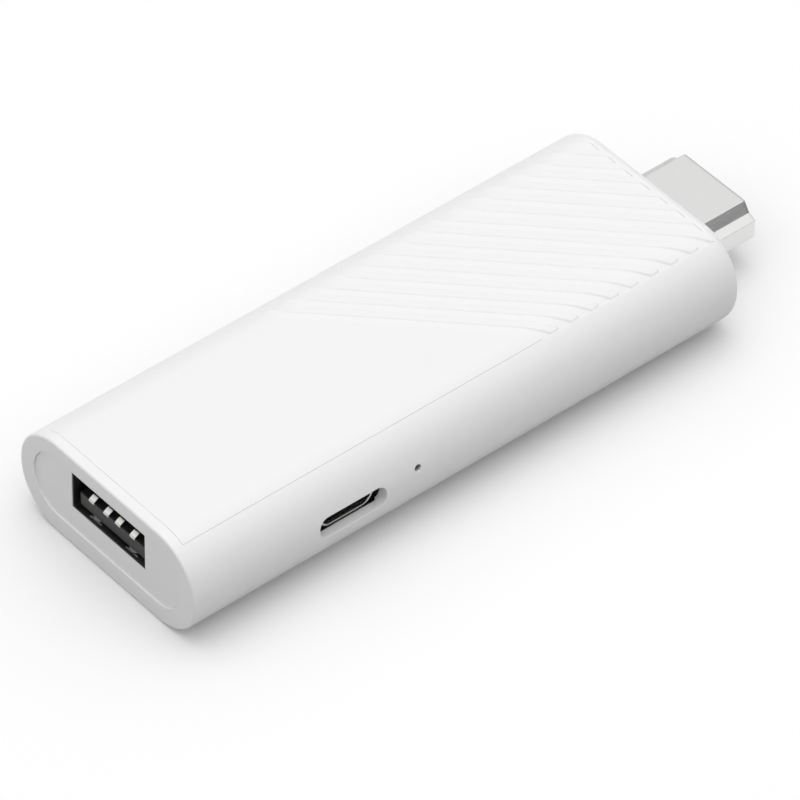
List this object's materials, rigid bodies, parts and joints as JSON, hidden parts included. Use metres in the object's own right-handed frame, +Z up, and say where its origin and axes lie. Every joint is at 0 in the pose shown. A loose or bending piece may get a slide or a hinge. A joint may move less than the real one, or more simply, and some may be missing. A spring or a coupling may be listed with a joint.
{
  "type": "streaming stick",
  "caption": "Streaming stick: pale round-sided case, diagonally ribbed inset cover, HDMI plug, USB-A and micro-USB sockets, sprung reset button behind a pinhole.",
  "frame": {"origin": "centre of the footprint of the whole stick with its plug, on the surface that the stick lies on", "axes": "+X along the stick towards the HDMI plug, +Y away from the micro-USB side, +Z up through the ribbed cover"},
  "size_m": [0.0872, 0.03, 0.013],
  "materials": {
    "case_plastic": "fine satin moulding",
    "black_plastic": "moulded",
    "button_plastic": "moulded",
    "plated_steel": "satin plating",
    "steel": "satin",
    "contact_metal": "bright plating",
    "board_laminate": "solder mask",
    "chip_epoxy": "moulded epoxy",
    "thermal_rubber": "soft silicone",
    "aluminium": "mill finish",
    "ferrite": "dull",
    "ceramic": "fired"
  },
  "bodies": {
    "stick": {"housing": "case_plastic", "top_cover": "case_plastic", "usb_end_plate": "case_plastic", "main_board": "board_laminate", "board_screws": "steel", "usb_a_shell": "plated_steel", "usb_a_tongue": "black_plastic", "usb_a_contacts": "contact_metal", "micro_usb_shell": "plated_steel", "micro_usb_tongue": "black_plastic", "micro_usb_contacts": "contact_metal", "hdmi_shell": "plated_steel", "hdmi_insulator": "black_plastic", "hdmi_contacts": "contact_metal", "processor": "chip_epoxy", "memory_chips": "chip_epoxy", "storage_chip": "chip_epoxy", "power_chip": "chip_epoxy", "shield_frame": "steel", "shield_lid": "steel", "processor_thermal_pad": "thermal_rubber", "spreader_thermal_pad": "thermal_rubber", "heat_spreader": "aluminium", "wifi_module": "board_laminate", "wifi_shield": "steel", "power_inductors": "ferrite", "crystal": "steel", "filter_capacitors": "ceramic", "chip_capacitors": "ceramic", "antennas": "plated_steel", "reset_switch_base": "black_plastic", "reset_switch_dome": "steel", "reset_switch_cover": "steel"},
    "reset_button": {"reset_button": "button_plastic"}
  },
  "joints": [
    {"name": "reset_press", "type": "slide", "parent": "stick", "child": "reset_button", "axis": [0, 1, 0], "range_m": [0, 0.00025], "stiffness_N_per_m": 4000}
  ]
}
